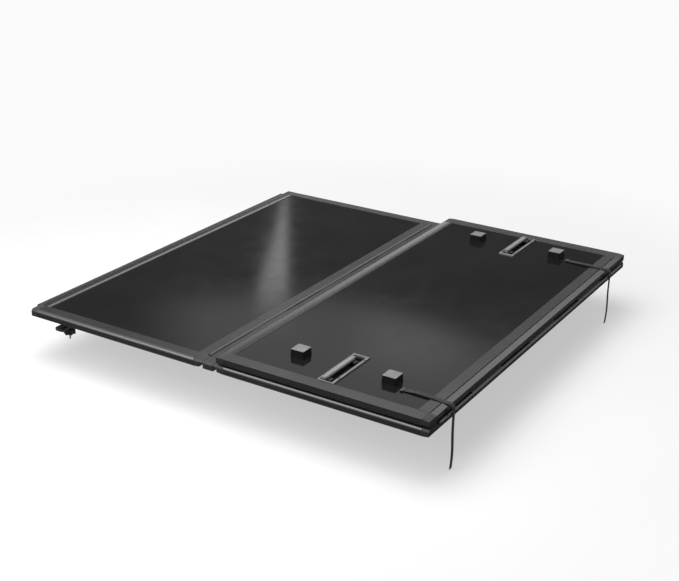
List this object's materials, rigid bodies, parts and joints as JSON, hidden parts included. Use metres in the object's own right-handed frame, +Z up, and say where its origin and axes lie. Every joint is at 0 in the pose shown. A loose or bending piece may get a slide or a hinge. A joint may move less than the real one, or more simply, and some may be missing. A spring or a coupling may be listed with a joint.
{
  "type": "folding tonneau cover",
  "caption": "Hard folding truck-bed cover: framed sandwich panels, a double hinge and a fold hinge, spacer blocks, turning latches, stow straps and front clamps.",
  "frame": {"origin": "centre of the front edge of the front panel, on the plane of the bed rails' tops that the cover rests on", "axes": "+X to the truck's right, +Y forward to the cab, +Z up"},
  "size_m": [1.748, 1.748, 0.261],
  "materials": {
    "panel_sheet": "satin",
    "core_foam": "matte",
    "rail_coat": "satin",
    "corner_plastic": "satin",
    "black_rubber": "matte",
    "block_rubber": "matte",
    "tray_plastic": "satin",
    "latch_metal": "satin",
    "clamp_metal": "satin",
    "knob_plastic": "matte",
    "zinc_steel": "satin",
    "strap_webbing": "matte"
  },
  "bodies": {
    "front_panel": {"front_top_skin": "panel_sheet", "front_core": "core_foam", "front_bottom_skin": "panel_sheet", "front_left_rail": "rail_coat", "front_right_rail": "rail_coat", "front_corners": "corner_plastic", "bulkhead_rail": "rail_coat", "front_hinge_rail": "rail_coat", "front_hinge_pin": "zinc_steel", "bulkhead_seal": "black_rubber", "clamp_screws": "zinc_steel", "left_clamp_bracket": "clamp_metal", "right_clamp_bracket": "clamp_metal", "left_clamp_stud": "zinc_steel", "right_clamp_stud": "zinc_steel"},
    "left_jaw": {"left_clamp_jaw": "clamp_metal", "left_jaw_pad": "black_rubber"},
    "right_jaw": {"right_clamp_jaw": "clamp_metal", "right_jaw_pad": "black_rubber"},
    "left_knob": {"left_clamp_knob": "knob_plastic"},
    "right_knob": {"right_clamp_knob": "knob_plastic"},
    "hinge_link": {"hinge_link": "rail_coat", "link_caps": "corner_plastic"},
    "middle_panel": {"middle_top_skin": "panel_sheet", "middle_core": "core_foam", "middle_bottom_skin": "panel_sheet", "middle_left_rail": "rail_coat", "middle_right_rail": "rail_coat", "middle_front_corners": "corner_plastic", "middle_rear_corners": "corner_plastic", "middle_front_hinge_rail": "rail_coat", "middle_rear_hinge_rail": "rail_coat", "middle_hinge_pin": "zinc_steel", "fold_hinge_pin": "zinc_steel"},
    "rear_panel": {"rear_top_skin": "panel_sheet", "rear_core": "core_foam", "rear_bottom_skin": "panel_sheet", "rear_left_rail": "rail_coat", "rear_right_rail": "rail_coat", "rear_corners": "corner_plastic", "rear_hinge_rail": "rail_coat", "tailgate_rail": "rail_coat", "tailgate_seal": "black_rubber", "spacer_blocks": "block_rubber", "block_screws": "zinc_steel", "left_latch_tray": "tray_plastic", "right_latch_tray": "tray_plastic", "tray_screws": "zinc_steel", "left_strap_run": "strap_webbing", "right_strap_run": "strap_webbing", "strap_anchors": "clamp_metal"},
    "left_latch": {"left_latch_rod": "latch_metal", "left_latch_pad": "black_rubber"},
    "right_latch": {"right_latch_rod": "latch_metal", "right_latch_pad": "black_rubber"},
    "left_strap": {"left_strap_tail": "strap_webbing"},
    "right_strap": {"right_strap_tail": "strap_webbing"}
  },
  "joints": [
    {"name": "front_fold", "type": "hinge", "parent": "front_panel", "child": "hinge_link", "pos_m": [0, -0.811, 0.026], "axis": [-1, 0, 0], "range_deg": [0, 90]},
    {"name": "middle_fold", "type": "hinge", "parent": "hinge_link", "child": "middle_panel", "pos_m": [0, -0.872, 0.026], "axis": [-1, 0, 0], "range_deg": [0, 90]},
    {"name": "rear_fold", "type": "hinge", "parent": "middle_panel", "child": "rear_panel", "pos_m": [0, -1.717, 0.03], "axis": [1, 0, 0], "range_deg": [0, 180]},
    {"name": "left_strap_swing", "type": "hinge", "parent": "rear_panel", "child": "left_strap", "pos_m": [-0.733, -1.718, 0.061], "axis": [1, 0, 0], "range_deg": [-180, 0]},
    {"name": "right_strap_swing", "type": "hinge", "parent": "rear_panel", "child": "right_strap", "pos_m": [0.667, -1.718, 0.061], "axis": [1, 0, 0], "range_deg": [-180, 0]},
    {"name": "left_latch_turn", "type": "hinge", "parent": "rear_panel", "child": "left_latch", "pos_m": [-0.7, -1.2795, 0.0625], "axis": [-1, 0, 0], "range_deg": [0, 90]},
    {"name": "right_latch_turn", "type": "hinge", "parent": "rear_panel", "child": "right_latch", "pos_m": [0.7, -1.2795, 0.0625], "axis": [-1, 0, 0], "range_deg": [0, 90]},
    {"name": "left_clamp_slide", "type": "slide", "parent": "front_panel", "child": "left_jaw", "axis": [0, 0, -1], "range_m": [0, 0.012]},
    {"name": "left_knob_turn", "type": "hinge", "parent": "left_jaw", "child": "left_knob", "pos_m": [-0.778, -0.096, -0.0715], "axis": [0, 0, -1], "range_deg": [0, 1080]},
    {"name": "right_clamp_slide", "type": "slide", "parent": "front_panel", "child": "right_jaw", "axis": [0, 0, -1], "range_m": [0, 0.012]},
    {"name": "right_knob_turn", "type": "hinge", "parent": "right_jaw", "child": "right_knob", "pos_m": [0.778, -0.096, -0.0715], "axis": [0, 0, -1], "range_deg": [0, 1080]}
  ],
  "couplings": [
    {"joint": "middle_fold", "follows": "front_fold", "ratio": 1},
    {"joint": "left_strap_swing", "follows": "rear_fold", "ratio": -1},
    {"joint": "right_strap_swing", "follows": "rear_fold", "ratio": -1},
    {"joint": "left_knob_turn", "follows": "left_clamp_slide", "rad_per_m": 1570.8},
    {"joint": "right_knob_turn", "follows": "right_clamp_slide", "rad_per_m": 1570.8}
  ]
}
